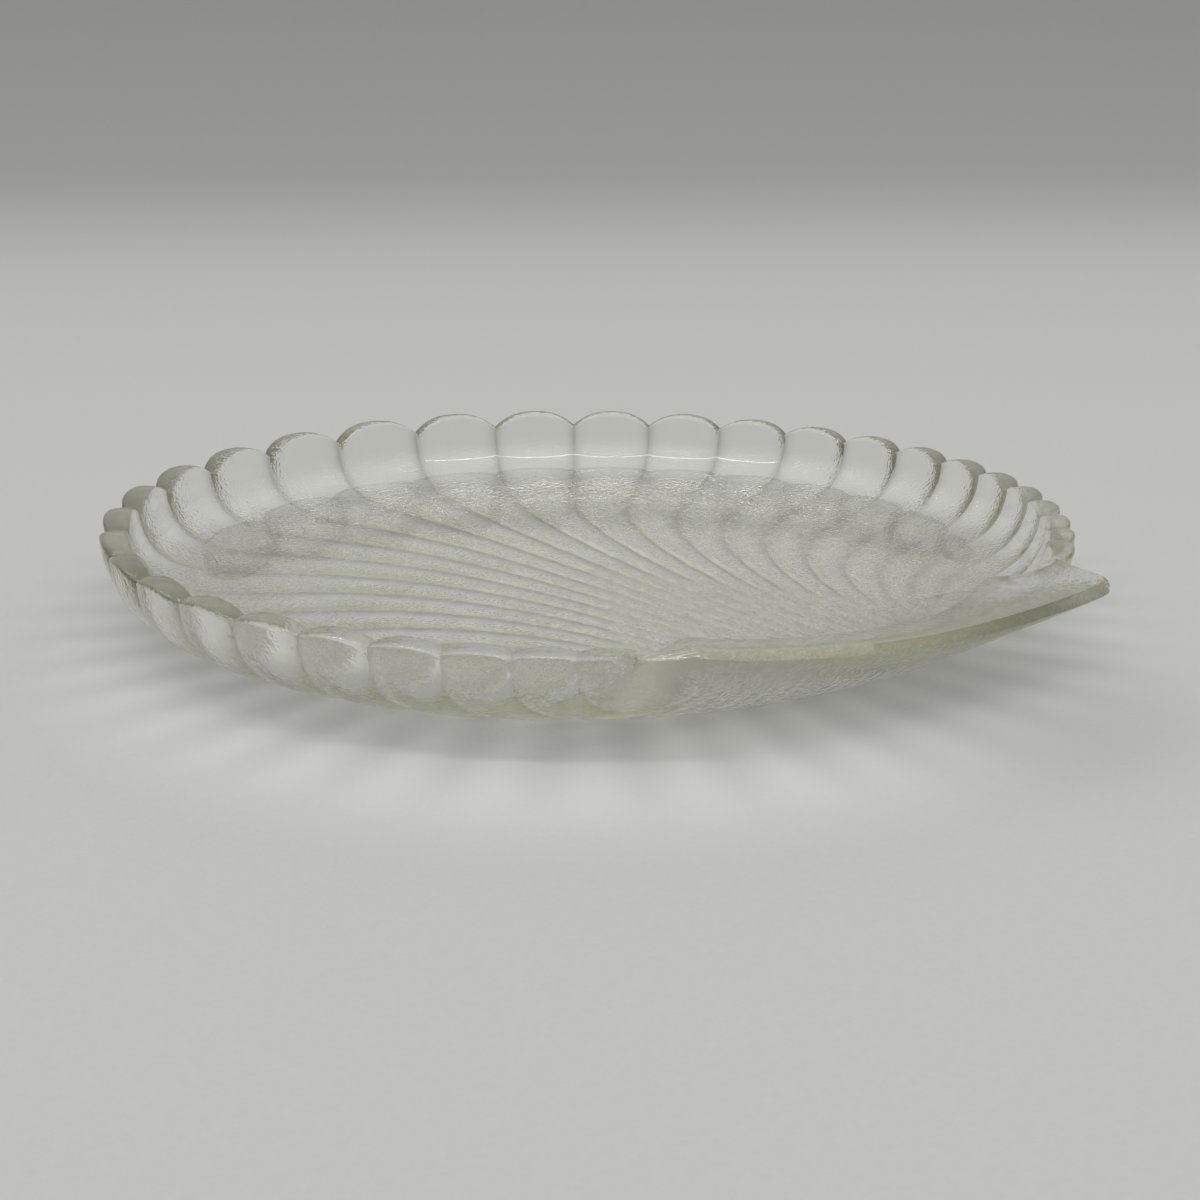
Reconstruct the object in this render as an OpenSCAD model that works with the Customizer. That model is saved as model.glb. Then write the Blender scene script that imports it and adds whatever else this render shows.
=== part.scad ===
// Scalloped dessert plate of clear pressed glass, in the form of a fan shell.
// The plate is one solid. Its ribs start side by side at the straight hinge edge, spread over the
// underside of the flat well, turn up the wall and end as the rounded lobes of the rim.
// The origin is the centre of the resting face, +Z is up and the hinge edge lies towards -Y.

/* [Rim and well] */
// Radius of the rim, over the crests of the lobes
rim_r = 98.2; // [85:0.1:110]
// Height of the notches between the lobes, at the far end of the fan
rim_h = 16.8; // [14:0.2:22]
// How much lower the notches beside the hinge lie
rim_dip = 1.2; // [0:0.1:2.5]
// Radius of the flat resting face
base_r = 66.5; // [58:0.5:72]
// Thickness of the floor, over the crests of the ribs
floor_t = 5.2; // [4:0.1:6.5]
// Thickness of the wall at the rim
wall_t = 3.4; // [2.6:0.1:4.2]
// Height of the rounding along the top of the rim
rim_crown = 1.1; // [0.4:0.1:1.6]

/* [Ribs and lobes] */
// Number of ribs, each of which ends as one lobe
rib_count = 31; // [25:2:37]
// Depth of the valleys between the ribs under the well
well_rib_depth = 0.6; // [0.3:0.1:2.2]
// Depth of the valleys between the lobes on the wall
wall_rib_depth = 2; // [0.8:0.1:2.4]
// Height of the widest lobe's arch over its notches
lobe_rise = 4.1; // [2:0.1:5.5]

/* [Hinge] */
// Width of the hinge edge, from the tip of one ear to the other
hinge_w = 91; // [76:1:94]
// Distance from the plate's centre to the line through the tips of the ears
ear_reach = 92.8; // [90:0.1:97]
// Angle in plan by which that line is turned against the fan
hinge_turn = 4; // [0:0.5:5]
// How far the middle of the hinge edge stands out past the line through the ears' tips
hinge_bulge = 2.5; // [0:0.1:4]
// Thickness of the tab at the middle of the hinge edge
tab_t = 2.8; // [2.4:0.1:4]
// How much thicker the tab is at the right ear than at the left one
tab_taper = 1.2; // [0:0.1:1.4]
// How far the foot of the tab's end face stands out past its top
tab_lean = 1; // [0:0.1:1.5]
// Width of the tab, from its crease to the hinge edge
tab_w = 10.5; // [7:0.5:13]
// How far the middle of the hinge edge lies below the height of the notches
tab_drop = 1.2; // [0.4:0.1:2.5]
// Height that the tab gains from its crease to the hinge edge
tab_climb = 2.8; // [1.5:0.1:4]
// Mean height of the ears' tips over the middle of the hinge edge
ear_lift = 3.1; // [1:0.1:4]
// How much higher the left ear stands than the right one
ear_tilt = 2.8; // [0:0.1:3]
// How much the rounding takes off the ears' corners
ear_round = 1.2; // [0.3:0.1:2]

/* [Hidden] */

// Columns of points across one rib, and rows of points across the crown of the rim
rib_columns = 4;
crown_rows = 3;
// Where the rows of points lie along a rib, from the hinge edge to the rim
row_shares = [0, 0.012, 0.025, 0.042, 0.064, 0.09, 0.13, 0.2, 0.3, 0.42, 0.53, 0.62,
              0.7, 0.77, 0.83, 0.88, 0.92, 0.95, 0.97, 1];

// Angle from the far end of the fan to the last notch, beside the hinge
last_notch = 148.7;
// How unevenly the notches are spaced: wide at the far end, narrow beside the hinge
spread_share = 0.45;
spread_power = 2.05;
// Growth of the arch with the width of its lobe, and the form of the arch and of the valleys
rise_power = 1.6;
arch_power = 2.4;
valley_power = 1.5;
// Width of the flat crest of a rib under the well, and how far out it reaches on the way to the rim
crest_share = 0.5;
crest_end_share = 0.35;
// Part of the wall over which the lobes rise to their arches
rise_start_share = 0.6;

// Handles of a rib's curve, as shares of the straight distance that it spans
lead_share = 0.74;
tail_share = 0.16;
// Part of the fan, next to the ears, over which the curves are drawn out to the edge
edge_start_share = 0.87;
edge_power = 14;
// Angles between which the wall of the lobes passes into the wall of the tab
blend_start = 144;
blend_end = 156;

// Wall's curves: handles as shares of its plan width and of its height
out_low_share = 0.47;
out_high_share = 1;
out_rise_share = 0.24;
in_low_share = 0.62;
in_high_share = 0.95;
in_rise_share = 0.17;
// Tab's curves: handles as shares of plan width and height, and where the crease lies on the way out
tab_low_share = 0.7;
tab_high_share = 0.82;
tab_rise_share = 0.7;
tab_out_share = 0.84;
tab_out_rise_share = 0.46;
crease_share = 0.7;
// How much leaner the tab's lower curve is under the right ear than under the left one
ear_lean_share = 0.36;
// Form of the hinge edge's rise to the ears
lift_power = 1.7;
// How fast plan distance is covered on the way up the wall
climb_power = 1.6;

well_share = base_r / rim_r;
hinge_half = hinge_w / 2;
ear_angle = 180 - atan(hinge_half / ear_reach);
crease_r = ear_reach + hinge_bulge - tab_w;
widest_angle = last_notch * ((1 + spread_share) / rib_count - spread_share * pow(1 / rib_count, spread_power)) * 2;

function clamp(x) = max(0, min(1, x));
function ease(x) = let (c = clamp(x)) c * c * (3 - 2 * c);
function mix(a, b, k) = a + (b - a) * k;

// Point at share t of a cubic curve with the four control points a, b, c and d
function cubic(a, b, c, d, t) =
    pow(1 - t, 3) * a + 3 * pow(1 - t, 2) * t * b + 3 * (1 - t) * t * t * c + pow(t, 3) * d;

// Direction in plan at an angle from the far end of the fan
function heading(angle) = [sin(angle), cos(angle)];

// Angle of the rim where the rib line u ends, u running from -1 to 1 across the fan
function rim_angle(u) =
    sign(u) * last_notch * ((1 + spread_share) * abs(u) - spread_share * pow(abs(u), spread_power));

// Position across its own rib of the rib line u: -1 and 1 in the valleys, 0 on the crest
function across(u) = let (n = (u + 1) / 2 * rib_count) 2 * (n - floor(n)) - 1;

// Width at the rim of the rib that holds the rib line u, as a share of the widest one
function width_share(u) =
    let (n = min(rib_count - 1, floor((u + 1) / 2 * rib_count)))
    (rim_angle(2 * (n + 1) / rib_count - 1) - rim_angle(2 * n / rib_count - 1)) / widest_angle;

// Where the rib line u starts on the unit circle, at the hinge edge
function start_point(u) = let (x = u * sin(ear_angle)) [x, -sqrt(1 - x * x)];

// Rib line u at share t of its way, on a disc of radius 1
function fan_curve(u, t) =
    let (a = start_point(u), d = heading(rim_angle(u)), span = norm(d - a))
    cubic(a, a + [0, lead_share * span], d * (1 - tail_share * span), d, t);

// The same, drawn out to the disc's edge beside the ears
function fan_point(u, t) =
    let (
        p = fan_curve(u, t),
        edge = heading(mix(angle_of(start_point(u)), rim_angle(u), t)),
        k = pow(clamp((abs(u) - edge_start_share) / (1 - edge_start_share)), mix(2, edge_power, t))
    )
    k > 0 ? mix(p, edge, k) : p;

// How far round towards the tab an angle lies: 0 on the lobes, 1 on the tab
function tab_weight(angle) = ease((abs(angle) - blend_start) / (blend_end - blend_start));

// Place along the hinge edge for an angle: -1 at the tip of the left ear, 1 at that of the right one
function along(angle) = sign(angle) * min(1, tan(180 - abs(angle)) / tan(180 - ear_angle));

// Radius of the hinge edge at an angle on the tab
function hinge_r(angle) =
    (ear_reach + hinge_bulge * (1 - pow(along(angle), 2))) / (-cos(angle) - tan(hinge_turn) * sin(angle));

// Radius of the plate's edge along the hinge and on the back edges of the ears, with rounded corners
function tab_edge_r(angle) =
    let (
        share = max(0, (abs(angle) - last_notch) / (ear_angle - last_notch)),
        back = mix(rim_r, hinge_r(sign(angle) * ear_angle), share),
        front = hinge_r(sign(angle) * max(abs(angle), blend_start))
    )
    (back + front) / 2 - norm([(back - front) / 2, ear_round]);

// Height of the tab's upper face at its edge
function tab_edge_z(angle) =
    rim_h - rim_dip - tab_drop + ear_lift * pow(abs(along(angle)), lift_power)
    - ear_tilt / 2 * along(angle);

// Height of the notches round the rim
function notch_z(angle) = rim_h - rim_dip * (1 - cos(angle)) / 2;

// Radius and height of the plate's lower face over the crests, at share s of the way up the wall
function lower_lobe(angle, s) =
    let (w = rim_r - base_r, h = notch_z(angle))
    cubic([base_r, 0], [base_r + out_low_share * w, 0],
          [base_r + out_high_share * w, out_rise_share * h], [rim_r, h], s);
function lower_tab(angle, s) =
    let (
        r = tab_edge_r(angle) + tab_lean,
        w = r - base_r,
        h = tab_edge_z(angle) - tab_t - tab_taper / 2 * along(angle),
        full = 1 - ear_lean_share * pow((1 + along(angle)) / 2, 2)
    )
    cubic([base_r, 0], [base_r + tab_low_share * full * w, 0],
          [base_r + tab_out_share * full * w, tab_out_rise_share * h], [r, h], s);

// Radius and height of the plate's upper face
function upper_lobe(angle, s) =
    let (r = rim_r - wall_rib_depth - wall_t, w = r - base_r, h = notch_z(angle) - floor_t)
    cubic([base_r, floor_t], [base_r + in_low_share * w, floor_t],
          [base_r + in_high_share * w, floor_t + in_rise_share * h], [r, floor_t + h], s);
function upper_tab(angle, s) =
    let (
        r = tab_edge_r(angle),
        crease = [crease_r / rim_r * min(r, rim_r), tab_edge_z(angle) - tab_climb],
        w = crease[0] - base_r,
        h = crease[1] - floor_t
    )
    s > crease_share
    ? mix(crease, [r, tab_edge_z(angle)], (s - crease_share) / (1 - crease_share))
    : cubic([base_r, floor_t], [base_r + tab_low_share * w, floor_t],
            [base_r + tab_high_share * w, floor_t + tab_rise_share * h], crease, s / crease_share);

// Share of the way up the wall for a point of the unit disc, 0 or less in the well
function climb(q) = q < well_share ? 0 : 1 - pow(max(0, 1 - q) / (1 - well_share), 1 / climb_power);

function angle_of(p) = atan2(p[0], p[1]);

// Depth of the valley at a place across a rib, as a share of its full depth
function valley(v, s) =
    let (flat = crest_share * (1 - clamp(s / crest_end_share)))
    pow(clamp((abs(v) - flat) / (1 - flat)), mix(valley_power, 2 * valley_power, s));

// Height that the lobe's arch adds to the rim
function arch(u, s) =
    lobe_rise * pow(width_share(u), rise_power) * (1 - pow(abs(across(u)), arch_power))
    * pow(clamp((s - rise_start_share) / (1 - rise_start_share)), 2);

// A point of a face, from its radius and height at an angle
function spot(angle, rz) = [rz[0] * sin(angle), rz[0] * cos(angle), rz[1]];

// Point of the lower face, with its ribs
function lower_point(u, t) =
    let (
        p = fan_point(u, t),
        angle = angle_of(p),
        s = climb(norm(p)),
        k = tab_weight(angle),
        rz = norm(p) < well_share
            ? [norm(p) * rim_r, 0]
            : mix(lower_lobe(angle, s), lower_tab(angle, s), k),
        dent = valley(across(u), s),
        sink = mix(wall_rib_depth, 0, k) * dent * ease(s),
        lift = well_rib_depth * dent * (1 - ease(s))
    )
    spot(angle, rz + [-sink, lift + arch(u, s) * (1 - k)]);

// Point of the upper face, which is smooth but for the arches along the rim
function upper_point(u, t) =
    let (
        p = fan_point(u, t),
        angle = angle_of(p),
        s = climb(norm(p)),
        k = tab_weight(angle),
        rz = norm(p) < well_share
            ? [norm(p) * rim_r, floor_t]
            : mix(upper_lobe(angle, s), upper_tab(angle, s), k)
    )
    spot(angle, rz + [0, arch(u, s) * (1 - k)]);

// Point of the rim's rounded top, at share c of the way from its outer to its inner edge
function crown_point(u, c) =
    mix(lower_point(u, 1), upper_point(u, 1), (1 - cos(180 * c)) / 2) + [0, 0, rim_crown * sin(180 * c)];

// All points of one column: out along the lower face, over the rim and back along the upper face
function column(u) = [
    for (t = row_shares) lower_point(u, t),
    for (i = [1 : crown_rows]) crown_point(u, i / (crown_rows + 1)),
    for (i = [len(row_shares) - 1 : -1 : 0]) upper_point(u, row_shares[i])
];

module glass_plate() {
    columns = rib_count * rib_columns;
    rows = 2 * len(row_shares) + crown_rows;
    last_row = len(row_shares) - 1;
    points = [for (i = [0 : columns]) each column(2 * i / columns - 1)];
    skin = [
        for (i = [0 : columns - 1], j = [0 : rows - 1])
            let (a = i * rows + j, b = i * rows + (j + 1) % rows)
            each [[a, a + rows, b], [b, a + rows, b + rows]]
    ];
    // Each side of the tab closes with a strip between the two faces, and a fan under the rim's crown
    side = [
        for (j = [0 : last_row - 1])
            each [[j, j + 1, rows - 1 - j], [rows - 1 - j, j + 1, rows - 2 - j]],
        for (j = [0 : crown_rows - 1])
            [last_row, last_row + crown_rows - j, last_row + crown_rows + 1 - j]
    ];
    far_side = [for (f = side) [for (k = [2, 1, 0]) f[k] + columns * rows]];
    color("lightcyan", 0.5) polyhedron(points, concat(skin, side, far_side), convexity = 10);
}

glass_plate();
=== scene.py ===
"""Scalloped dessert plate of clear pressed glass, dressed for a studio picture.

The plate is one piece of glass in the form of a fan shell. Its mesh is the CAD solid's own form, worked
out on a finer grid: rib lines start side by side at the hinge edge, spread over the underside of the
well, turn up the wall and end as the lobes of the rim. The module also builds the glass, with painted
shade in its colour along the valleys, a pale sweep under and behind the plate, with painted light and
shade from the plate in its colour, soft studio light and the camera.
"""

import logging
import math
from dataclasses import dataclass, field
from enum import Enum
from typing import List, Sequence, Tuple, Union

import bpy
import numpy as np
from mathutils import Matrix, Vector

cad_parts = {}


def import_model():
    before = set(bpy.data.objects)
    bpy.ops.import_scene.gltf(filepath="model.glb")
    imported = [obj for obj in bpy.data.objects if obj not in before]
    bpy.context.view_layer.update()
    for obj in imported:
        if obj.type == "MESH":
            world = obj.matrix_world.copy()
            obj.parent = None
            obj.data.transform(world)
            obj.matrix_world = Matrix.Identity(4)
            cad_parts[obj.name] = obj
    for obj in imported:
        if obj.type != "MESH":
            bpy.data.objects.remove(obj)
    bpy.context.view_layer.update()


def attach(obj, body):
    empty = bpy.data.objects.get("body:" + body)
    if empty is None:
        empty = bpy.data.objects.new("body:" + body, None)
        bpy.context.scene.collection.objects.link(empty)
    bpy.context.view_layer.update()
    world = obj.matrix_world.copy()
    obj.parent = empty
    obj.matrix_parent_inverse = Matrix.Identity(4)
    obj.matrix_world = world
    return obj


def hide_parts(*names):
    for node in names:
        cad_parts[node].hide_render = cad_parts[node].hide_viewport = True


LOG = logging.getLogger("dessert_plate")

MM = 0.001
TINY = 1e-9
Array = np.ndarray
Colour = Tuple[float, float, float]
Socket = bpy.types.NodeSocket
Value = Union[float, Sequence[float], Socket]


class Side(Enum):
    """The two faces of the plate's shell."""

    LOWER = "lower"
    UPPER = "upper"


class Ramp(Enum):
    """How a ramp runs between its two ends."""

    STRAIGHT = "LINEAR"
    SMOOTH = "SMOOTHSTEP"


def ease(x: Array) -> Array:
    """Smooth step: 3 x squared minus 2 x cubed, with x held between 0 and 1.

    Args:
        x: Values to ease.

    Returns:
        The eased values, from 0 to 1.
    """
    held = np.clip(x, 0.0, 1.0)
    return held * held * (3.0 - 2.0 * held)


def mix(a: Array, b: Array, share: Array) -> Array:
    """Straight mix of a and b: a at share 0, b at share 1."""
    return a + (b - a) * share


def cubic(points: Sequence[Array], t: Array) -> Array:
    """Value at share t of a cubic curve with two ends and two handles.

    Args:
        points: The first end, its handle, the second end's handle and that end, each to match t.
        t: Shares of the way along, from 0 to 1.

    Returns:
        With s for 1 minus t, the sum of the four values times s cubed, 3 s squared t, 3 s t squared and
        t cubed.
    """
    s = 1.0 - t
    a, b, c, d = points
    return s**3 * a + 3.0 * s * s * t * b + 3.0 * s * t * t * c + t**3 * d


def feed(tree: bpy.types.NodeTree, socket: Socket, value: Value) -> None:
    """Gives a socket its value: another socket is linked to it, a number, colour or direction is set."""
    if isinstance(value, Socket):
        tree.links.new(value, socket)
    else:
        socket.default_value = value


def add_maths(tree: bpy.types.NodeTree, operation: str, *values: Value) -> Socket:
    """Adds a math node.

    Args:
        tree: Node tree to add to.
        operation: Name of the operation.
        values: Its values in order, each a number or a socket.

    Returns:
        The socket with the result.
    """
    node = tree.nodes.new("ShaderNodeMath")
    node.operation = operation
    for socket, value in zip(node.inputs, values):
        feed(tree, socket, value)
    return node.outputs["Value"]


def add_ramp(tree: bpy.types.NodeTree, kind: Ramp, value: Socket, span: Tuple[float, float],
             result: Tuple[Value, Value]) -> Socket:
    """Adds a ramp of a value, held at its two ends.

    Args:
        tree: Node tree to add to.
        kind: How the ramp runs.
        value: Socket that gives the value.
        span: Values at which the ramp starts and ends.
        result: What the ramp gives at its start and at its end, each a number or a socket.

    Returns:
        The socket with the result.
    """
    ramp = tree.nodes.new("ShaderNodeMapRange")
    ramp.interpolation_type = kind.value
    names = ("Value", "From Min", "From Max", "To Min", "To Max")
    for name, given in zip(names, (value, *span, *result)):
        feed(tree, ramp.inputs[name], given)
    return ramp.outputs["Result"]


def add_noise(tree: bpy.types.NodeTree, scale: float, octaves: float) -> Socket:
    """Adds a cloudy noise in Object coordinates.

    Args:
        tree: Node tree to add to.
        scale: Scale of the noise, per metre.
        octaves: Octaves of the noise.

    Returns:
        The socket with the noise, from 0 to 1.
    """
    place = tree.nodes.new("ShaderNodeTexCoord")
    noise = tree.nodes.new("ShaderNodeTexNoise")
    feed(tree, noise.inputs["Vector"], place.outputs["Object"])
    feed(tree, noise.inputs["Scale"], scale)
    feed(tree, noise.inputs["Detail"], octaves)
    return noise.outputs["Fac"]


def add_relief(tree: bpy.types.NodeTree, height: Socket, depth: float) -> bpy.types.Node:
    """Adds a bump node.

    Args:
        tree: Node tree to add to.
        height: Socket with the height, from 0 to 1.
        depth: Depth of the relief, in metres.

    Returns:
        The bump node.
    """
    bump = tree.nodes.new("ShaderNodeBump")
    feed(tree, bump.inputs["Distance"], depth)
    feed(tree, bump.inputs["Height"], height)
    return bump


def add_blend(tree: bpy.types.NodeTree, first: Colour, second: Colour, share: Socket) -> Socket:
    """Adds a mix of two colours: the first at share 0, the second at share 1.

    Args:
        tree: Node tree to add to.
        first: Colour at share 0.
        second: Colour at share 1.
        share: Socket with the share.

    Returns:
        The socket with the mixed colour.
    """
    blend = tree.nodes.new("ShaderNodeMix")
    blend.data_type = "RGBA"
    sockets = [socket for socket in blend.inputs if socket.type == "RGBA"]
    feed(tree, sockets[0], (*first, 1.0))
    feed(tree, sockets[1], (*second, 1.0))
    feed(tree, blend.inputs["Factor"], share)
    return [socket for socket in blend.outputs if socket.type == "RGBA"][0]


def add_weight(tree: bpy.types.NodeTree, name: str) -> Socket:
    """Adds a node that reads a weight from the mesh's attribute of that name."""
    node = tree.nodes.new("ShaderNodeAttribute")
    node.attribute_name = name
    return node.outputs["Fac"]


@dataclass
class RimForm:
    """Sizes of the rim, the wall and the well, in millimetres."""

    rim_r: float = 98.2
    rim_h: float = 16.8
    rim_dip: float = 1.2
    base_r: float = 66.5
    floor_t: float = 5.2
    wall_t: float = 3.4
    rim_crown: float = 1.1
    crown_power: float = 0.8


@dataclass
class RibForm:
    """Number and depth of the ribs, and the form of the lobes that they end in."""

    count: int = 31
    well_depth: float = 0.4
    wall_depth: float = 2.0
    lobe_rise: float = 4.1
    rise_power: float = 1.6
    arch_power: float = 2.4
    valley_power: float = 1.5
    wall_power: float = 3.0
    crest_share: float = 0.2
    crest_end: float = 0.35
    rise_start: float = 0.6


@dataclass
class HingeForm:
    """Sizes of the hinge edge, its tab and its ears, in millimetres and degrees."""

    width: float = 91.0
    reach: float = 92.8
    turn: float = 4.0
    bulge: float = 2.5
    tab_t: float = 2.8
    taper: float = 1.2
    tab_lean: float = 1.0
    tab_w: float = 10.5
    drop: float = 1.2
    climb: float = 2.8
    ear_lift: float = 3.1
    ear_tilt: float = 2.8
    ear_round: float = 1.2
    lift_power: float = 1.7
    lean_share: float = 0.36
    edge_round: float = 0.6
    back_round: float = 0.7


@dataclass
class FanForm:
    """How the rib lines run from the hinge edge to the rim, on a disc of radius 1. Angles are in degrees."""

    last_notch: float = 148.7
    spread: float = 0.45
    spread_power: float = 2.05
    lead: float = 0.74
    tail: float = 0.16
    edge_start: float = 0.87
    edge_power_start: float = 2.0
    edge_power: float = 14.0
    blend_start: float = 144.0
    blend_end: float = 156.0


@dataclass
class WallCurves:
    """Handles of the wall's and the tab's curves, as shares of their width and height."""

    out_low: float = 0.47
    out_high: float = 1.0
    out_rise: float = 0.24
    in_low: float = 0.62
    in_high: float = 0.95
    in_rise: float = 0.17
    tab_low: float = 0.7
    tab_high: float = 0.82
    tab_rise: float = 0.7
    tab_out: float = 0.84
    tab_out_rise: float = 0.46
    crease: float = 0.7
    climb_power: float = 1.6


@dataclass
class GridSteps:
    """How finely the shell is sampled. Angles are in degrees."""

    columns_per_rib: int = 14
    steps: int = 5
    crown_rows: int = 9
    cap_columns: int = 5
    cap_turn: float = 88.0
    sharp_angle: float = 50.0
    edge_rows: Tuple[float, ...] = (0.0, 0.00015, 0.0004, 0.0008, 0.0015, 0.004, 0.008)
    row_shares: Tuple[float, ...] = (0.012, 0.025, 0.042, 0.064, 0.09, 0.13, 0.2, 0.3, 0.42, 0.53, 0.62,
                                     0.7, 0.77, 0.83, 0.88, 0.92, 0.955, 0.98, 1.0)

    def rows(self) -> Array:
        """Shares along a rib line at which a face has its rows, from 0 at the hinge edge to 1 at the rim."""
        knots, n = np.array(self.row_shares), self.steps
        fine = np.interp(np.arange((len(knots) - 1) * n + 1) / n, np.arange(len(knots)), knots)
        return np.concatenate([np.array(self.edge_rows), fine])


@dataclass
class FinishWeights:
    """Weights of the stipple and of the dark lines of painted shade over the plate's faces.

    Starts, ends and widths are shares of the way up the wall. Those of the foot are millimetres from the
    plate's middle, and those beside the hinge are radians from the far end of the fan.
    """

    well_top: float = 0.07
    well_top_end: float = 0.1
    tab_top: float = 0.2
    well_under: float = 0.2
    foot: float = 0.7
    foot_start: float = 52.0
    foot_width: float = 22.0
    tab_loss: float = 0.3
    tab_loss_end: float = 0.4
    wall_loss: float = 0.6
    wall_loss_start: float = 0.25
    wall_loss_width: float = 0.4
    # Painted shade: dark lines along the valleys, fainter beside the hinge, faint over the tab and along its
    # crease.
    well_shade_line: float = 0.9
    well_shade_power: int = 3
    wall_shade_line: float = 0.85
    wall_shade_power: int = 8
    wall_shade_end: float = 0.5
    hinge_shade_loss: float = 0.75
    hinge_shade_start: float = 1.5
    hinge_shade_width: float = 0.7
    tab_shade_line: float = 0.1
    crease_shade_line: float = 0.6
    crease_shade_width: float = 0.12


@dataclass(frozen=True)
class GlassWithPaintedShade:
    """Clear pressed glass with a faint grey-green body, polished inside and stippled underneath, with painted
    shade in its colour along the valleys and the tab's crease and in dark specks.
    """

    name: str = "pressed_glass_painted_shade"
    mask: str = "stipple"
    # Attribute with the weight of the painted shade: the dark lines and the specks.
    line: str = "valley"
    polish: float = 0.02
    frost: float = 0.14
    stipple_depth: float = 0.0005
    stipple_scale: float = 1300.0
    ripple_scale: float = 45.0
    ripple_depth: float = 0.0002
    octaves: float = 1.0
    tint: Colour = (0.998, 1.0, 0.992)
    # Colour of the painted shade in the valleys, along the tab's crease and in the specks.
    valley: Colour = (0.3, 0.3, 0.26)
    # Strength of the dark specks of painted shade where the stipple is deep.
    specks: float = 0.6
    speck_octaves: float = 2.0
    speck_noise: Tuple[float, float] = (0.48, 0.62)
    speck_mask: Tuple[float, float] = (0.55, 1.0)
    ior: float = 1.48
    body: Colour = (0.65, 0.64, 0.505)
    density: float = 15.0

    def speckle(self, tree: bpy.types.NodeTree, mask: Socket, line: Socket) -> Socket:
        """Adds dark specks of painted shade to the painted shade of the valleys, where the stipple is deep.

        Args:
            tree: Node tree of the glass.
            mask: Socket with the weight of the stipple.
            line: Socket with the weight of the painted shade along the valleys and the crease.

        Returns:
            The socket with the weight of the painted shade.
        """
        noise = add_noise(tree, self.stipple_scale, self.speck_octaves)
        grain = add_ramp(tree, Ramp.STRAIGHT, noise, self.speck_noise, (0.0, 1.0))
        deep = add_ramp(tree, Ramp.STRAIGHT, mask, self.speck_mask, (0.0, self.specks))
        return add_maths(tree, "MULTIPLY_ADD", grain, deep, line)

    def material(self) -> bpy.types.Material:
        """Builds the glass: a transmitting surface whose colour darkens by painted shade, an absorbing body
        and two layers of relief.

        Returns:
            The new material.
        """
        made = bpy.data.materials.new(self.name)
        made.use_nodes = True
        tree = made.node_tree
        shader = tree.nodes["Principled BSDF"]
        mask, line = add_weight(tree, self.mask), add_weight(tree, self.line)
        shade = self.speckle(tree, mask, line)
        frost = add_ramp(tree, Ramp.STRAIGHT, mask, (0.0, 1.0), (self.polish, self.frost))
        ripple = add_relief(tree, add_noise(tree, self.ripple_scale, self.octaves), self.ripple_depth)
        stipple = add_relief(tree, add_noise(tree, self.stipple_scale, self.octaves), self.stipple_depth)
        feed(tree, stipple.inputs["Strength"], mask)
        feed(tree, ripple.inputs["Normal"], stipple.outputs["Normal"])
        # Painted shade: the glass colour runs from the tint to the valley colour by the painted shade weight.
        feed(tree, shader.inputs["Base Color"], add_blend(tree, self.tint, self.valley, shade))
        feed(tree, shader.inputs["Transmission Weight"], 1.0)
        feed(tree, shader.inputs["IOR"], self.ior)
        feed(tree, shader.inputs["Roughness"], frost)
        feed(tree, shader.inputs["Normal"], ripple.outputs["Normal"])
        body = tree.nodes.new("ShaderNodeVolumeAbsorption")
        feed(tree, body.inputs["Color"], (*self.body, 1.0))
        feed(tree, body.inputs["Density"], self.density)
        feed(tree, tree.nodes["Material Output"].inputs["Volume"], body.outputs["Volume"])
        return made


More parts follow.
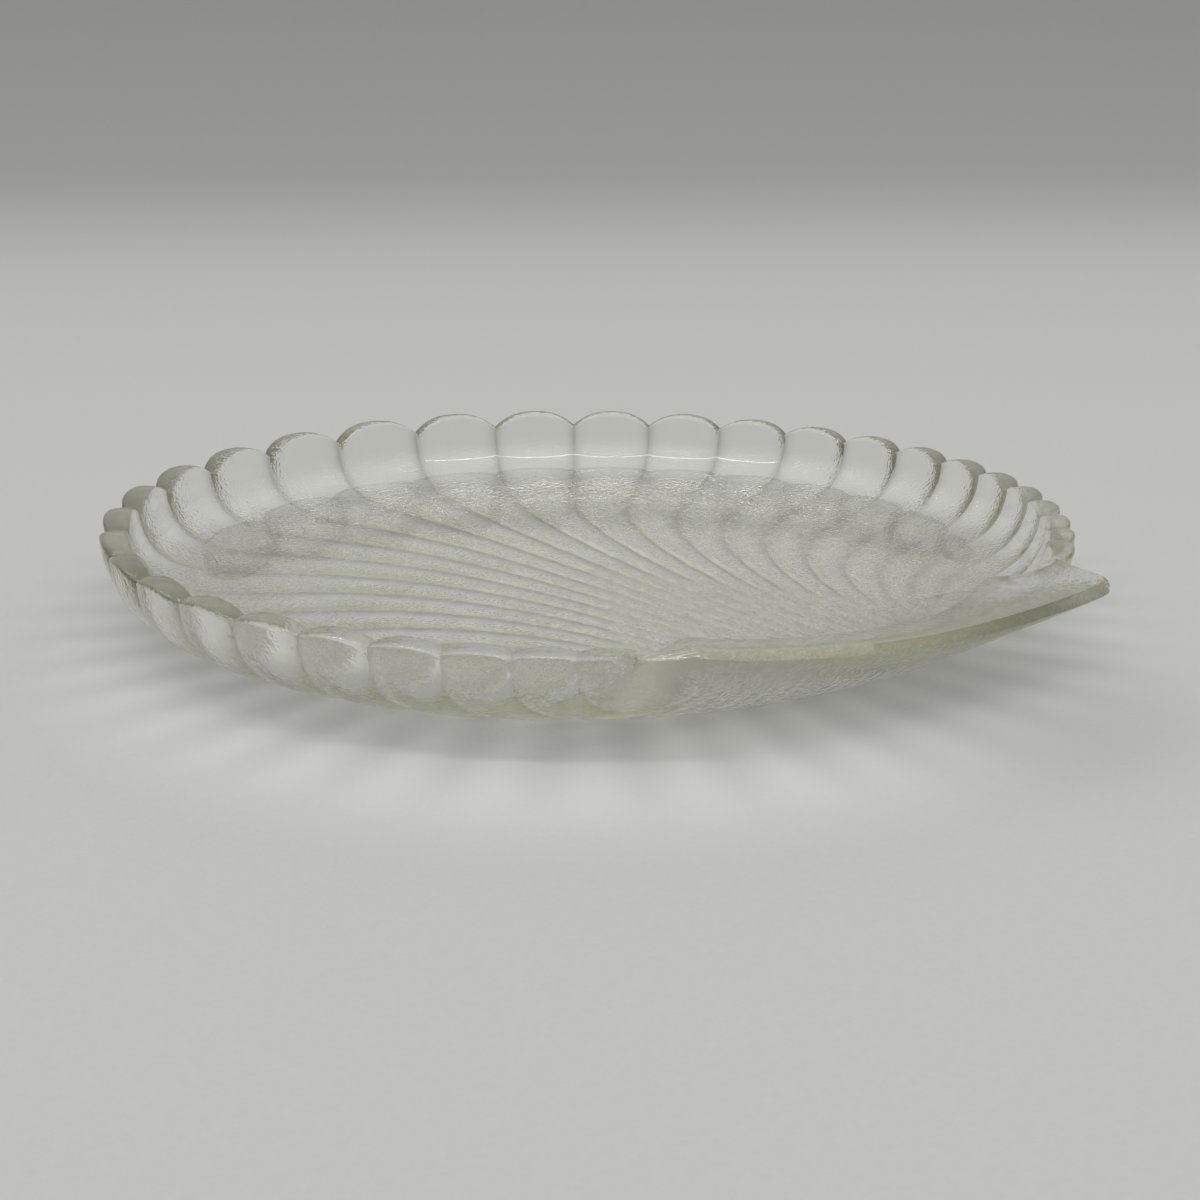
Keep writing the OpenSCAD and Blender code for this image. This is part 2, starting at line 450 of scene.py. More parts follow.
@dataclass
class PlateShell:
    """The whole plate: a closed shell of pressed glass that replaces the CAD solid."""

    rim: RimForm = field(default_factory=RimForm)
    ribs: RibForm = field(default_factory=RibForm)
    hinge: HingeForm = field(default_factory=HingeForm)
    fan: FanForm = field(default_factory=FanForm)
    curves: WallCurves = field(default_factory=WallCurves)
    steps: GridSteps = field(default_factory=GridSteps)
    weighting: FinishWeights = field(default_factory=FinishWeights)
    glass_and_shade: GlassWithPaintedShade = GlassWithPaintedShade()

    @property
    def ear_angle(self) -> float:
        """Angle of the ears' tips from the far end of the fan, in radians."""
        return math.pi - math.atan(self.hinge.width / 2.0 / self.hinge.reach)

    def rim_angle(self, u: Array) -> Array:
        """Angle at which rib line u meets the rim.

        The notches stand wide at the far end of the fan and close beside the hinge: the angle is the last
        notch's, times a straight share of u less a share of a power of u.

        Args:
            u: Places across the fan, from -1 to 1.

        Returns:
            Angles from the far end of the fan, in radians.
        """
        size = np.abs(u)
        fan = self.fan
        share = (1.0 + fan.spread) * size - fan.spread * size**fan.spread_power
        return np.sign(u) * math.radians(fan.last_notch) * share

    def across(self, u: Array) -> Array:
        """Place of rib line u across its own rib: -1 and 1 in the valleys, 0 on the crest."""
        n = (u + 1.0) / 2.0 * self.ribs.count
        return 2.0 * (n - np.floor(n)) - 1.0

    def width_share(self, u: Array) -> Array:
        """Width at the rim of the lobe that rib line u ends in, as a share of the widest lobe's."""
        count = self.ribs.count
        n = np.minimum(count - 1, np.floor((u + 1.0) / 2.0 * count))
        width = self.rim_angle(2.0 * (n + 1.0) / count - 1.0) - self.rim_angle(2.0 * n / count - 1.0)
        widest = 2.0 * self.rim_angle(np.array(1.0 / count))
        return width / widest

    def fan_points(self, u: Array, t: Array) -> Array:
        """Points of the rib lines on a disc of radius 1.

        Each rib line is a cubic curve that leaves the hinge edge square to it and meets the rim radially.
        Beside the ears the lines are drawn out to the disc's edge.

        Args:
            u: Column of places across the fan.
            t: Row of shares along the rib lines.

        Returns:
            Array of columns x rows x 2.
        """
        fan = self.fan
        u, t = u[:, None], t[None, :]
        x = u * math.sin(self.ear_angle)
        start = np.stack([x, -np.sqrt(1.0 - x * x)], axis=-1)
        angle = self.rim_angle(u)
        end = np.stack([np.sin(angle), np.cos(angle)], axis=-1)
        span = np.linalg.norm(end - start, axis=-1, keepdims=True)
        lead = start + span * np.array([0.0, fan.lead])
        line = cubic((start, lead, end * (1.0 - fan.tail * span), end), t[..., None])
        turn = mix(np.arctan2(start[..., 0], start[..., 1]), angle, t)
        edge = np.stack([np.sin(turn), np.cos(turn)], axis=-1)
        near = np.clip((np.abs(u) - fan.edge_start) / (1.0 - fan.edge_start), 0.0, 1.0)
        draw = near ** mix(fan.edge_power_start, fan.edge_power, t)
        return mix(line, edge, draw[..., None])

    def tab_weight(self, angle: Array) -> Array:
        """How far round towards the tab an angle lies: 0 on the lobes, 1 on the tab."""
        start, end = math.radians(self.fan.blend_start), math.radians(self.fan.blend_end)
        return ease((np.abs(angle) - start) / (end - start))

    def along(self, angle: Array) -> Array:
        """Place along the hinge edge: -1 at the tip of the left ear, 1 at that of the right one."""
        half = math.tan(math.pi - self.ear_angle)
        return np.sign(angle) * np.minimum(1.0, np.abs(np.tan(math.pi - np.abs(angle))) / half)

    def hinge_r(self, angle: Array) -> Array:
        """Radius of the hinge edge: a bulged line that is turned a little against the fan."""
        out = self.hinge.reach + self.hinge.bulge * (1.0 - self.along(angle) ** 2)
        return out / (-np.cos(angle) - math.tan(math.radians(self.hinge.turn)) * np.sin(angle))

    def edge_r(self, angle: Array) -> Array:
        """Radius of the plate's edge along the hinge and on the ears' back edges, with rounded corners.

        The corner is the smaller root of a hyperbola that has the two edges for asymptotes.
        """
        last = math.radians(self.fan.last_notch)
        share = np.maximum(0.0, (np.abs(angle) - last) / (self.ear_angle - last))
        back = mix(self.rim.rim_r, self.hinge_r(np.sign(angle) * self.ear_angle), share)
        held = np.sign(angle) * np.maximum(np.abs(angle), math.radians(self.fan.blend_start))
        front = self.hinge_r(held)
        return (back + front) / 2.0 - np.hypot((back - front) / 2.0, self.hinge.ear_round)

    def rim_z(self, angle: Array) -> Array:
        """Height of the rim in its notches: it falls by the dip towards the hinge, as the cosine does."""
        return self.rim.rim_h - self.rim.rim_dip * (1.0 - np.cos(angle)) / 2.0

    def edge_z(self, angle: Array) -> Array:
        """Height of the tab's upper face at its edge, which rises to the two ears."""
        place, hinge = self.along(angle), self.hinge
        low = self.rim.rim_h - self.rim.rim_dip - hinge.drop
        return low + hinge.ear_lift * np.abs(place) ** hinge.lift_power - hinge.ear_tilt / 2.0 * place

    def climb(self, q: Array) -> Array:
        """Share of the way up the wall at radius q of the unit disc, 0 in the well."""
        well = self.rim.base_r / self.rim.rim_r
        rest = np.clip((1.0 - q) / (1.0 - well), 0.0, 1.0)
        return 1.0 - rest ** (1.0 / self.curves.climb_power)

    def wall_lower(self, angle: Array, s: Array, tab: Array) -> Tuple[Array, Array]:
        """Radius and height of the lower face over the crests, at share s of the way up.

        Both the lobes' wall and the tab's underside are cubic curves from the edge of the resting face to
        the plate's edge; the tab weight mixes the two.

        Args:
            angle: Angles from the far end of the fan.
            s: Shares of the way up the wall.
            tab: Weights of the tab.

        Returns:
            Radii and heights in millimetres.
        """
        base, c = self.rim.base_r, self.curves
        w, h = self.rim.rim_r - base, self.rim_z(angle)
        r_lobe = cubic((base, base + c.out_low * w, base + c.out_high * w, self.rim.rim_r), s)
        z_lobe = cubic((0.0, 0.0, c.out_rise * h, h), s)
        r_edge = self.edge_r(angle) + self.hinge.tab_lean
        place = self.along(angle)
        w, h = r_edge - base, self.edge_z(angle) - self.hinge.tab_t - self.hinge.taper / 2.0 * place
        full = 1.0 - self.hinge.lean_share * ((1.0 + place) / 2.0) ** 2
        r_tab = cubic((base, base + c.tab_low * full * w, base + c.tab_out * full * w, r_edge), s)
        z_tab = cubic((0.0, 0.0, c.tab_out_rise * h, h), s)
        return mix(r_lobe, r_tab, tab), mix(z_lobe, z_tab, tab)

    def wall_upper(self, angle: Array, s: Array, tab: Array) -> Tuple[Array, Array]:
        """Radius and height of the upper face, at share s of the way up.

        On the tab the curve ends in a crease, from which the tab runs straight out to its edge.

        Args:
            angle: Angles from the far end of the fan.
            s: Shares of the way up the wall.
            tab: Weights of the tab.

        Returns:
            Radii and heights in millimetres.
        """
        base, c, low = self.rim.base_r, self.curves, self.rim.floor_t
        r_in = self.rim.rim_r - self.ribs.wall_depth - self.rim.wall_t
        w, h = r_in - base, self.rim_z(angle) - low
        r_lobe = cubic((base, base + c.in_low * w, base + c.in_high * w, r_in), s)
        z_lobe = cubic((low, low, low + c.in_rise * h, low + h), s)
        r_edge, z_edge = self.edge_r(angle), self.edge_z(angle)
        crease_r = (self.hinge.reach + self.hinge.bulge - self.hinge.tab_w) / self.rim.rim_r
        crease_r = crease_r * np.minimum(r_edge, self.rim.rim_r)
        crease_z = z_edge - self.hinge.climb
        w, h = crease_r - base, crease_z - low
        rise = np.clip(s / c.crease, 0.0, 1.0)
        out = np.clip((s - c.crease) / (1.0 - c.crease), 0.0, 1.0)
        r_tab = cubic((base, base + c.tab_low * w, base + c.tab_high * w, crease_r), rise)
        z_tab = cubic((low, low, low + c.tab_rise * h, crease_z), rise)
        r_tab = r_tab + (r_edge - crease_r) * out
        z_tab = z_tab + (z_edge - crease_z) * out
        return mix(r_lobe, r_tab, tab), mix(z_lobe, z_tab, tab)

    def valley(self, v: Array, s: Array) -> Array:
        """Depth of the valley across a rib as a share: flat crests in the well, sharp valleys on the wall."""
        flat = self.ribs.crest_share * (1.0 - np.clip(s / self.ribs.crest_end, 0.0, 1.0))
        power = mix(self.ribs.valley_power, self.ribs.wall_power, s)
        return np.clip((np.abs(v) - flat) / (1.0 - flat), 0.0, 1.0) ** power

    def arch(self, u: Array, s: Array) -> Array:
        """Height that a lobe's arch adds to the rim: highest on the crest and on the widest lobe."""
        rise = self.ribs.lobe_rise * self.width_share(u) ** self.ribs.rise_power
        start = self.ribs.rise_start
        up = np.clip((s - start) / (1.0 - start), 0.0, 1.0) ** 2
        return rise * (1.0 - np.abs(self.across(u)) ** self.ribs.arch_power) * up

    def rounding(self, q: Array, angle: Array) -> Array:
        """Height by which a face is drawn in along the tab's edges: a quarter circle in section."""
        size = self.hinge.edge_round
        gap = np.clip(size - (1.0 - q) * self.edge_r(angle), 0.0, size)
        return size - np.sqrt(size * size - gap * gap)

    def face(self, side: Side, u: Array, t: Array) -> Array:
        """Grid of points on one face of the shell.

        Args:
            side: Which face.
            u: Column of places across the fan.
            t: Row of shares along the rib lines.

        Returns:
            Array of columns x rows x 3, in millimetres.
        """
        flat = self.fan_points(u, t)
        q = np.minimum(np.hypot(flat[..., 0], flat[..., 1]), 1.0)
        angle = np.arctan2(flat[..., 0], flat[..., 1])
        u = np.broadcast_to(u[:, None], q.shape)
        s, tab = self.climb(q), self.tab_weight(angle)
        in_well = q < self.rim.base_r / self.rim.rim_r
        drawn = tab * self.rounding(q, angle)
        if side is Side.LOWER:
            r, z = self.wall_lower(angle, s, tab)
            dent = self.valley(self.across(u), s)
            r = np.where(in_well, q * self.rim.rim_r, r) - self.ribs.wall_depth * (1.0 - tab) * dent * ease(s)
            z = np.where(in_well, 0.0, z) + self.ribs.well_depth * dent * (1.0 - ease(s)) + drawn
        else:
            r, z = self.wall_upper(angle, s, tab)
            r = np.where(in_well, q * self.rim.rim_r, r)
            z = np.where(in_well, self.rim.floor_t, z) - drawn
        z = z + self.arch(u, s) * (1.0 - tab)
        return np.stack([r * np.sin(angle), r * np.cos(angle), z], axis=-1)

    def crown(self, outer: Array, inner: Array) -> Array:
        """Rows of points over the rim, from its outer to its inner edge.

        The section is half a superellipse, a flat top between two rounded edges: the sine and cosine of the
        turn are raised to a power below 1.

        Args:
            outer: Points of the outer edge, columns x 3.
            inner: Points of the inner edge, columns x 3.

        Returns:
            Array of columns x rows x 3.
        """
        turn = np.arange(1, self.steps.crown_rows + 1) / (self.steps.crown_rows + 1) * math.pi
        wide = np.sign(np.cos(turn)) * np.abs(np.cos(turn)) ** self.rim.crown_power
        rows = mix(outer[:, None, :], inner[:, None, :], (1.0 - wide[None, :, None]) / 2.0)
        lift = self.rim.rim_crown * np.sin(turn) ** self.rim.crown_power
        return rows + lift[None, :, None] * np.array([0.0, 0.0, 1.0])

    def build(self) -> bpy.types.Object:
        """Builds the plate's mesh and object.

        The mesh is a grid that runs out along the lower face, over the rim and back along the upper face,
        closed by a strip at each end of the fan.

        Returns:
            The plate's object, with its glass.
        """
        u, t = self.columns(), self.steps.rows()
        lower, upper = self.face(Side.LOWER, u, t), self.face(Side.UPPER, u, t)
        crown = self.crown(lower[:, -1], upper[:, -1])
        ring = self.capped(np.concatenate([lower, crown, upper[:, ::-1]], axis=1))
        columns, rows = ring.shape[:2]
        index = np.arange(columns * rows).reshape(columns, rows)
        a, b = index[:-1], np.roll(index, -1, axis=1)[:-1]
        c, d = np.roll(index, -1, axis=1)[1:], index[1:]
        quads = np.stack([a, d, c, b], axis=-1).reshape(-1, 4)
        faces = quads[:, ::-1].tolist() + self.strip(index[0]) + self.strip(index[-1][::-1])
        mesh = bpy.data.meshes.new("glass_plate_shell")
        mesh.from_pydata((ring.reshape(-1, 3) * MM).tolist(), [], faces)
        mesh.materials.append(self.glass_and_shade.material())
        self.weigh(mesh, u, t)
        mesh.polygons.foreach_set("use_smooth", np.ones(len(mesh.polygons), dtype=bool))
        mesh.set_sharp_from_angle(angle=math.radians(self.steps.sharp_angle))
        mesh.update()
        plate = bpy.data.objects.new("glass_plate_shell", mesh)
        bpy.context.scene.collection.objects.link(plate)
        return plate

    def weigh(self, mesh: bpy.types.Mesh, u: Array, t: Array) -> None:
        """Puts the weights of the stipple and of the dark lines of painted shade on the mesh, as two point
        attributes.

        Over the rim each weight runs straight from the lower face's last value to the upper face's. The
        columns that round off the ends have no weight.

        Args:
            mesh: The plate's mesh.
            u: Column of places across the fan.
            t: Row of shares along the rib lines.
        """
        ends, crown = self.steps.cap_columns, self.steps.crown_rows
        share = np.arange(1, crown + 1) / (crown + 1)
        pairs = zip(self.weights(Side.LOWER, u, t), self.weights(Side.UPPER, u, t))
        for name, (under, above) in zip((self.glass_and_shade.mask, self.glass_and_shade.line), pairs):
            over = mix(under[:, -1:], above[:, -1:], share[None, :])
            weight = np.zeros((len(u) + 2 * ends, 2 * len(t) + crown), dtype=np.float32)
            weight[ends : ends + len(u)] = np.concatenate([under, over, above[:, ::-1]], axis=1)
            mesh.attributes.new(name, "FLOAT", "POINT").data.foreach_set("value", weight.ravel())

    def columns(self) -> Array:
        """Places across the fan at which the shell has its columns.

        In each rib they stand closer beside the valleys: half of an even spacing and half of a sine's.
        """
        n = self.steps.columns_per_rib
        even = np.arange(n) / n * 2.0 - 1.0
        own = (even + np.sin(even * math.pi / 2.0)) / 4.0 + 0.5
        ribs = np.arange(self.ribs.count)[:, None] + own[None, :]
        return np.append(ribs.ravel(), self.ribs.count) / self.ribs.count * 2.0 - 1.0

    def weights(self, side: Side, u: Array, t: Array) -> Tuple[Array, Array]:
        """Weights of the stipple and of the dark lines of painted shade on one face.

        The stipple is full at the wall's foot and light elsewhere. The lines of painted shade follow the
        valleys:
        soft in the well, narrow on the wall and faint beside the hinge, with a faint painted shade over the
        tab.
        Above, one soft line of painted shade follows the tab's crease: e to the power of minus the squared
        distance from it.

        Args:
            side: Which face.
            u: Column of places across the fan.
            t: Row of shares along the rib lines.

        Returns:
            Two arrays of columns x rows.
        """
        flat = self.fan_points(u, t)
        q = np.hypot(flat[..., 0], flat[..., 1])
        angle = np.arctan2(flat[..., 0], flat[..., 1])
        s, tab, given = self.climb(q), self.tab_weight(angle), self.weighting
        if side is Side.UPPER:
            stipple = given.well_top * (1.0 - ease(s / given.well_top_end)) + given.tab_top * tab
            # Painted shade along the tab's crease.
            crease = np.exp(-(((s - self.curves.crease) / given.crease_shade_width) ** 2))
            return stipple, given.crease_shade_line * tab * crease
        foot = given.foot * ease((q * self.rim.rim_r - given.foot_start) / given.foot_width)
        stipple = given.well_under + foot - given.tab_loss * tab * ease(s / given.tab_loss_end)
        up = ease((s - given.wall_loss_start) / given.wall_loss_width)
        # Painted shade along the valleys, less beside the hinge, and faint over the tab.
        beside = ease((np.abs(angle) - given.hinge_shade_start) / given.hinge_shade_width)
        size = np.abs(self.across(u))[:, None]
        in_well = given.well_shade_line * size**given.well_shade_power
        on_wall = given.wall_shade_line * size**given.wall_shade_power * (1.0 - given.hinge_shade_loss * beside)
        line = mix(in_well, on_wall, ease(s / given.wall_shade_end))
        return stipple - given.wall_loss * up * (1.0 - tab), mix(line, given.tab_shade_line, tab)

    def capped(self, ring: Array) -> Array:
        """Adds columns that round off the shell's two ends, on the back edges of the ears.

        Each end column is drawn in towards the middle between its faces by the cosine of a turn, and stands
        out by the sine of it.

        Args:
            ring: Points of the shell, columns x rows x 3.

        Returns:
            The points with the new columns before the first and after the last one.
        """
        n = self.steps.cap_columns
        turns = np.arange(1, n + 1) / n * math.radians(self.steps.cap_turn)
        caps = []
        for edge, inner in ((ring[0], ring[1]), (ring[-1], ring[-2])):
            middle = (edge + edge[::-1]) / 2.0
            run = np.gradient(middle[:, :2], axis=0)
            out = np.stack([-run[:, 1], run[:, 0], np.zeros(len(run))], axis=-1)
            out *= np.sign(((edge - inner) * out).sum(axis=-1, keepdims=True))
            out /= np.maximum(np.linalg.norm(out, axis=-1, keepdims=True), TINY)
            caps.append([middle + (edge - middle) * math.cos(a) + out * self.hinge.back_round * math.sin(a)
                         for a in turns])
        return np.concatenate([np.array(caps[0][::-1]), ring, np.array(caps[1])], axis=0)

    def strip(self, loop: Array) -> List[List[int]]:
        """Closes the loop of points at one end of the fan with a strip across it.

        Args:
            loop: Vertex numbers of the end column, in order.

        Returns:
            Four-sided faces that join each point to the one opposite.
        """
        a, n = loop.tolist(), len(loop)
        pairs = [[a[i], a[i + 1], a[n - 2 - i], a[n - 1 - i]] for i in range(n // 2 - 1)]
        return pairs + ([[a[n // 2 - 1], a[n // 2], a[n // 2 + 1]]] if n % 2 else [])


@dataclass(frozen=True)
class PaperWithPaintedLight:
    """Matt pale grey paper with a fine tooth, and the light and shade that the plate throws on it, painted
    into its colour.
    """

    name: str = "grey_paper_painted_light"
    colour: Colour = (0.458, 0.463, 0.452)
    fleck: Colour = (0.44, 0.445, 0.434)
    roughness: float = 0.9
    gloss: float = 0.1
    # Painted shade: the paper's colour darkens up the bend.
    bend_shade: float = 0.72
    bend_span: Tuple[float, float] = (0.0, 0.08)
    tooth_scale: float = 900.0
    tooth_octaves: float = 3.0
    tooth_depth: float = 0.00008
    # Painted light and shade from the plate: a pool of light around it, an ear's painted shadow and painted
    # caustic rays.
    glow: float = 1.22
    glow_place: Tuple[float, float] = (-0.012, -0.018)
    glow_span: Tuple[float, float] = (0.08, 0.112)
    shade: float = 0.78
    shade_place: Tuple[float, float] = (0.011, -0.1)
    shade_span: Tuple[float, float] = (0.0, 0.05)
    caustic_streak: float = 0.05
    caustic_place: Tuple[float, float] = (0.0, 0.0)
    caustic_span: Tuple[float, float] = (0.095, 0.125)
    caustic_count: float = 15.5
    caustic_turn: float = 2.595
    caustic_power: float = 1.2

    def reach(self, tree: bpy.types.NodeTree, place: bpy.types.Node, centre: Tuple[float, float]) -> Socket:
        """Adds the level distance from a centre: the root of the sum of the two squared gaps.

        Args:
            tree: Node tree of the paper.
            place: Node that gives the place on the paper.
            centre: The centre's place, in metres.

        Returns:
            The socket with the distance.
        """
        gaps = [add_maths(tree, "SUBTRACT", place.outputs[axis], at) for axis, at in zip("XY", centre)]
        squares = [add_maths(tree, "MULTIPLY", gap, gap) for gap in gaps]
        return add_maths(tree, "POWER", add_maths(tree, "ADD", *squares), 0.5)

    def light(self, tree: bpy.types.NodeTree, place: bpy.types.Node) -> Socket:
        """Adds the painted light and shade that the plate throws on the paper: a painted glow, an ear's
        painted shadow and the notches' painted caustic rays, light and dark.

        The painted rays follow the cosine of a power of the angle, so that they stand closer beside the
        hinge.

        Args:
            tree: Node tree of the paper.
            place: Node that gives the place on the paper.

        Returns:
            The socket with the painted light's factor for the paper's colour.
        """
        # Painted light around the plate, the ear's painted shadow and the strength of the painted caustic
        # rays.
        glow, shade, fade = (
            add_ramp(tree, Ramp.SMOOTH, self.reach(tree, place, centre), span, result)
            for centre, span, result in (
                (self.glow_place, self.glow_span, (self.glow, 1.0)),
                (self.shade_place, self.shade_span, (self.shade, 1.0)),
                (self.caustic_place, self.caustic_span, (self.caustic_streak, 0.0)),
            )
        )
        angle = add_maths(tree, "ARCTAN2", place.outputs["X"], place.outputs["Y"])
        turn = add_maths(tree, "DIVIDE", add_maths(tree, "ABSOLUTE", angle), self.caustic_turn)
        turn = add_maths(tree, "POWER", turn, self.caustic_power)
        wave = add_maths(tree, "COSINE", add_maths(tree, "MULTIPLY", turn, self.caustic_count * math.tau))
        rays = add_maths(tree, "ADD", add_maths(tree, "MULTIPLY", wave, fade), 1.0)
        return add_maths(tree, "MULTIPLY", add_maths(tree, "MULTIPLY", glow, shade), rays)

    def material(self) -> bpy.types.Material:
        """Builds the paper: two near shades in a cloudy mix, painted shade that darkens it up the bend, the
        painted light and shade from the plate, and a fine relief.

        Returns:
            The new material.
        """
        made = bpy.data.materials.new(self.name)
        made.use_nodes = True
        tree = made.node_tree
        noise = add_noise(tree, self.tooth_scale, self.tooth_octaves)
        place = tree.nodes.new("ShaderNodeSeparateXYZ")
        feed(tree, place.inputs["Vector"], tree.nodes.new("ShaderNodeTexCoord").outputs["Object"])
        # Painted shade up the bend.
        bend = add_ramp(tree, Ramp.SMOOTH, place.outputs["Z"], self.bend_span, (1.0, self.bend_shade))
        lit = tree.nodes.new("ShaderNodeVectorMath")
        lit.operation = "SCALE"
        feed(tree, lit.inputs["Vector"], add_blend(tree, self.colour, self.fleck, noise))
        # The paper's colour is scaled by the painted shade of the bend and the painted light and shade from
        # the plate.
        feed(tree, lit.inputs["Scale"], add_maths(tree, "MULTIPLY", bend, self.light(tree, place)))
        shader = tree.nodes["Principled BSDF"]
        feed(tree, shader.inputs["Base Color"], lit.outputs["Vector"])
        feed(tree, shader.inputs["Roughness"], self.roughness)
        feed(tree, shader.inputs["Specular IOR Level"], self.gloss)
        feed(tree, shader.inputs["Normal"], add_relief(tree, noise, self.tooth_depth).outputs["Normal"])
        return made


@dataclass
class Studio:
    """Camera, paper sweep and soft light.

    Lengths are in metres, the lens and the sensor in millimetres, the view's two angles in degrees, and the
    roll and the sweep's turn in radians. The offset is where the rim's centre falls in the picture, in
    pixels to the right of its middle and below it.
    """

    view_elevation: float = 13.34
    view_azimuth: float = 54.46
    distance: float = 0.3168
    target_height: float = 0.0168
    lens: float = 45.0
    sensor: float = 36.0
    near_clip: float = 0.01
    offset: Tuple[float, float] = (-11.2, -91.2)
    focal_pixels: float = 1500.0
    roll: float = -0.0047
    sweep_depth: float = 0.55
    sweep_radius: float = 0.8
    sweep_turn: float = 0.79
    sweep_steps: int = 25
    sweep_front: float = 1.6
    sweep_width: float = 3.0
    sweep_gap: float = 0.0002
    sky_colour: Colour = (1.0, 1.0, 0.97)
    sky_back: float = 0.62
    sky_front: float = 0.15
    sky_depth: Tuple[float, float] = (-0.3, 0.9)
    sky_top: float = 1.4
    sky_height: Tuple[float, float] = (0.34, 0.85)
    sky_seen: float = 0.5
    strip_place: Tuple[float, float, float] = (-0.03, -0.2, 0.9)
    strip_size: Tuple[float, float] = (1.1, 0.04)
    strip_power: float = 1.6
    bounces: int = 28
    paper: PaperWithPaintedLight = field(default_factory=PaperWithPaintedLight)

    @property
    def view(self) -> Vector:
        """Level direction in which the camera looks."""
        turn = math.radians(self.view_azimuth)
        return Vector((math.cos(turn), math.sin(turn), 0.0))

    def spot(self, right: float, away: float, up: float) -> Vector:
        """A place in the camera's own plan (right, away from the camera, and up), as a point of the scene."""
        return Vector((self.view.y, -self.view.x, 0.0)) * right + self.view * away + Vector((0.0, 0.0, up))

    def add_camera(self) -> None:
        """Places the camera: it looks at the rim's centre, then tips and turns to frame the plate."""
        rise = math.radians(self.view_elevation)
        ahead = self.view * math.cos(rise) - Vector((0.0, 0.0, math.sin(rise)))
        right = ahead.cross(Vector((0.0, 0.0, 1.0))).normalized()
        up = right.cross(ahead)
        pitch = math.atan(self.offset[1] / self.focal_pixels)
        yaw = Matrix.Rotation(math.atan(self.offset[0] / self.focal_pixels), 3, "Z")
        aim = yaw @ (ahead * math.cos(pitch) + up * math.sin(pitch))
        top = yaw @ (up * math.cos(pitch) - ahead * math.sin(pitch))
        side = yaw @ right
        level = side * math.cos(self.roll) + top * math.sin(self.roll)
        top = top * math.cos(self.roll) - side * math.sin(self.roll)
        place = Vector((0.0, 0.0, self.target_height)) - ahead * self.distance
        data = bpy.data.cameras.new("camera")
        data.lens = self.lens
        data.sensor_width = self.sensor
        data.clip_start = self.near_clip
        camera = bpy.data.objects.new("camera", data)
        turned = Matrix((level, top, -aim)).transposed().to_4x4()
        camera.matrix_world = Matrix.Translation(place) @ turned
        bpy.context.scene.collection.objects.link(camera)
        bpy.context.scene.camera = camera

    def add_sweep(self) -> None:
        """Lays the paper: a floor that turns up into a wall behind the plate.

        The section is a straight floor and part of a circle, carried sideways.
        """
        turn = np.linspace(0.0, self.sweep_turn, self.sweep_steps)
        arc_y = self.sweep_depth + self.sweep_radius * np.sin(turn)
        arc_z = self.sweep_radius * (1.0 - np.cos(turn))
        section_y = np.concatenate([[-self.sweep_front], arc_y])
        section_z = np.concatenate([[0.0], arc_z]) - self.sweep_gap
        half = self.sweep_width / 2.0
        x = np.array([-half, half])
        grid = np.stack(np.broadcast_arrays(x[:, None], section_y[None, :], section_z[None, :]), axis=-1)
        x_axis, y_axis = [self.view.y, -self.view.x, 0.0], [self.view.x, self.view.y, 0.0]
        turned = np.array([x_axis, y_axis, [0.0, 0.0, 1.0]])
        points = (grid.reshape(-1, 3) @ turned).tolist()
        n = len(section_y)
        faces = [[i, i + n, i + n + 1, i + 1] for i in range(n - 1)]
        mesh = bpy.data.meshes.new("paper_sweep")
        mesh.from_pydata(points, [], faces)
        mesh.polygons.foreach_set("use_smooth", np.ones(len(faces), dtype=bool))
        mesh.materials.append(self.paper.material())
        sweep = bpy.data.objects.new("paper_sweep", mesh)
        bpy.context.scene.collection.objects.link(sweep)

    def add_strip(self) -> None:
        """Hangs a thin soft box over the plate, a little in front of its middle, that faces it."""
        data = bpy.data.lights.new("top_strip", "AREA")
        data.shape = "RECTANGLE"
        data.size, data.size_y = self.strip_size
        data.energy = self.strip_power
        lamp = bpy.data.objects.new("top_strip", data)
        spot = self.spot(*self.strip_place)
        lamp.rotation_euler = (-spot).to_track_quat("-Z", "Y").to_euler()
        lamp.location = spot
        bpy.context.scene.collection.objects.link(lamp)

    def add_sky(self) -> None:
        """Lights the scene with a sky.

        It is brightest overhead. Low down it is darker, and more so behind the camera than behind the plate.
        The camera itself sees all of it at one pale strength.
        """
        world = bpy.data.worlds.new("studio")
        world.use_nodes = True
        tree = world.node_tree
        nodes = tree.nodes
        place = nodes.new("ShaderNodeTexCoord").outputs["Generated"]
        depth = nodes.new("ShaderNodeVectorMath")
        depth.operation = "DOT_PRODUCT"
        feed(tree, depth.inputs[0], place)
        feed(tree, depth.inputs[1], self.view)
        split = nodes.new("ShaderNodeSeparateXYZ")
        feed(tree, split.inputs["Vector"], place)
        sides = (self.sky_front, self.sky_back)
        low = add_ramp(tree, Ramp.SMOOTH, depth.outputs["Value"], self.sky_depth, sides)
        sky = add_ramp(tree, Ramp.SMOOTH, split.outputs["Z"], self.sky_height, (low, self.sky_top))
        seen = nodes.new("ShaderNodeMix")
        feed(tree, seen.inputs["Factor"], nodes.new("ShaderNodeLightPath").outputs["Is Camera Ray"])
        feed(tree, seen.inputs["A"], sky)
        feed(tree, seen.inputs["B"], self.sky_seen)
        feed(tree, nodes["Background"].inputs["Strength"], seen.outputs["Result"])
        feed(tree, nodes["Background"].inputs["Color"], (*self.sky_colour, 1.0))
        bpy.context.scene.world = world

    def build(self) -> None:
        """Sets up the camera, the paper and the light, with plain colour management."""
        self.add_camera()
        self.add_sweep()
        self.add_sky()
        self.add_strip()
        bpy.context.scene.view_settings.view_transform = "Standard"
        cycles = bpy.context.scene.cycles
        cycles.max_bounces = cycles.transmission_bounces = cycles.glossy_bounces = self.bounces


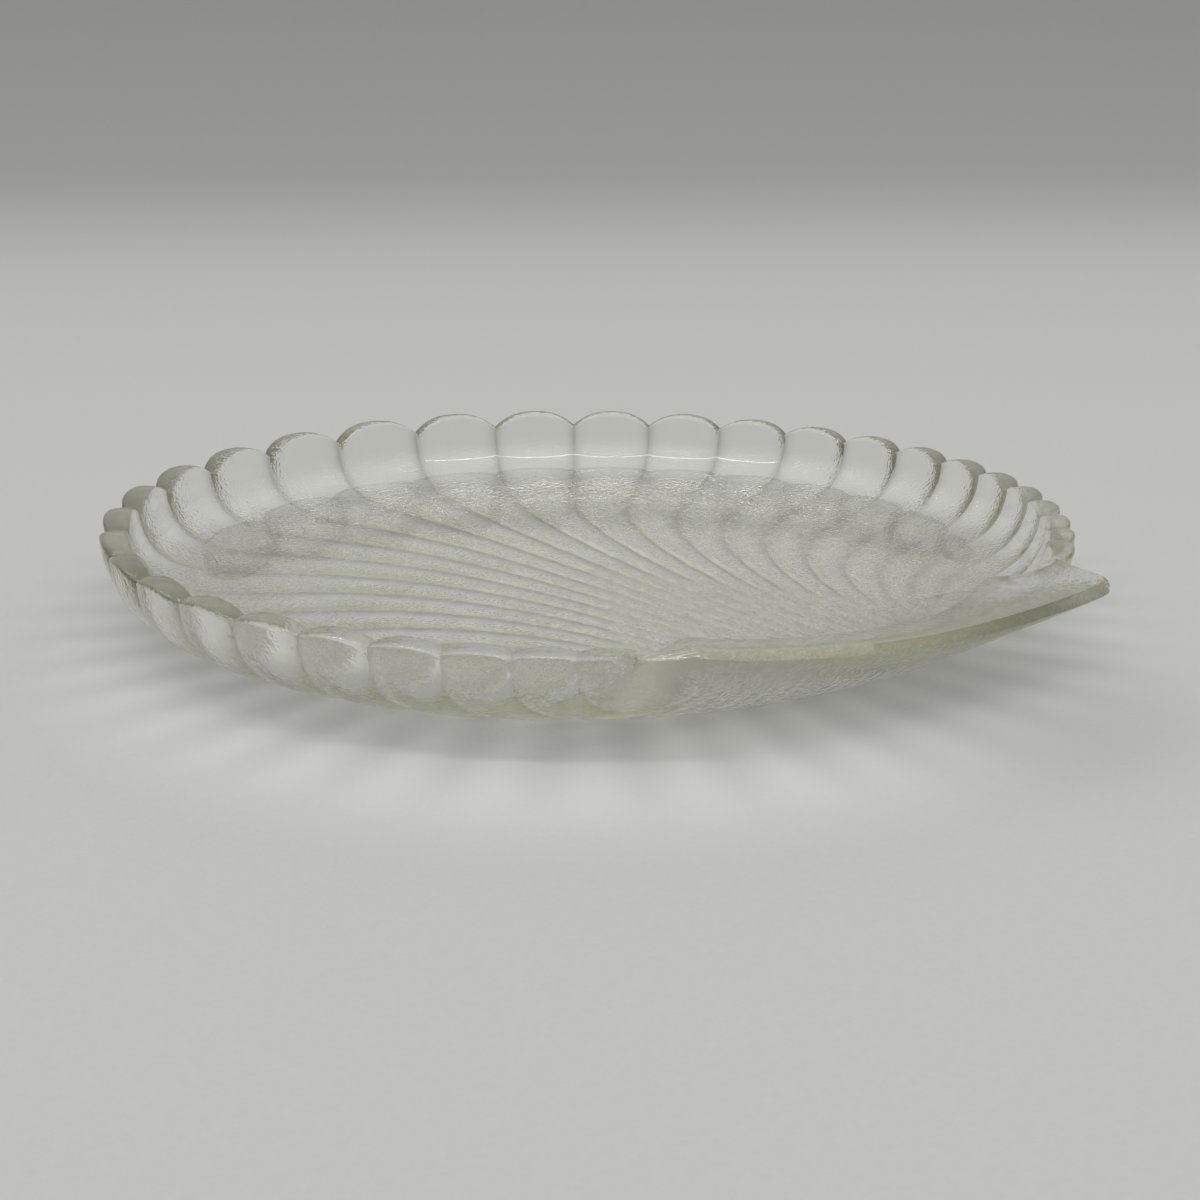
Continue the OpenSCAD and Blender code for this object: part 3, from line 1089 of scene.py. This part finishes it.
def main() -> None:
    """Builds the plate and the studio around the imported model."""
    logging.basicConfig(level=logging.INFO, format="%(message)s")
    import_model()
    Studio().build()
    plate = PlateShell().build()
    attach(plate, "root")
    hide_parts("glass_plate")
    LOG.info("%s: %d faces", plate.name, len(plate.data.polygons))
    bpy.context.view_layer.update()


if __name__ == "__main__":
    main()
